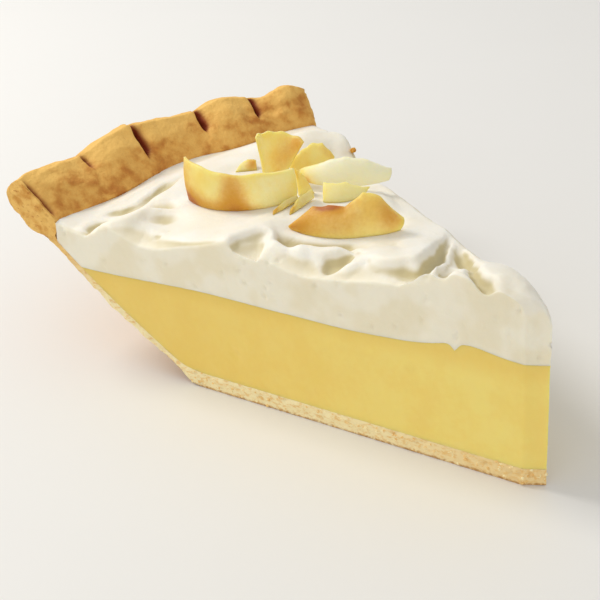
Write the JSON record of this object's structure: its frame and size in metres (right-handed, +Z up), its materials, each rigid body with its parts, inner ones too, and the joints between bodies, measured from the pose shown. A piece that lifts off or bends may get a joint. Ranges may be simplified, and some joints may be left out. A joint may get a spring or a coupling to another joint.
{
  "type": "coconut cream pie slice",
  "caption": "Wedge of cream pie: baked crust with a crimped rim, yellow custard, whipped cream with spatula swirls and a heap of toasted coconut shavings.",
  "frame": {"origin": "middle of the slice's footprint box, on the flat underside of the crust", "axes": "+Y from the pointed tip to the crimped rim along the middle of the wedge, +Z up; the cut face shown in the picture is on the -X side"},
  "size_m": [0.0787, 0.1205, 0.0445],
  "materials": {
    "pie_crust": "baked, dry and slightly blistered",
    "custard": "smooth, moist, set",
    "whipped_cream": "soft satin",
    "coconut": "dry, waxy, toasted at the edges"
  },
  "bodies": {
    "root": {"pie_crust": "pie_crust", "custard": "custard", "whipped_cream": "whipped_cream", "shaving_ribbon": "coconut", "shaving_fold": "coconut", "shaving_round": "coconut", "shaving_long": "coconut", "shaving_pale": "coconut", "shaving_toasted": "coconut", "shaving_sliver_low": "coconut", "shaving_sliver_high": "coconut", "shaving_end": "coconut", "shaving_scrap": "coconut"}
  },
  "joints": []
}
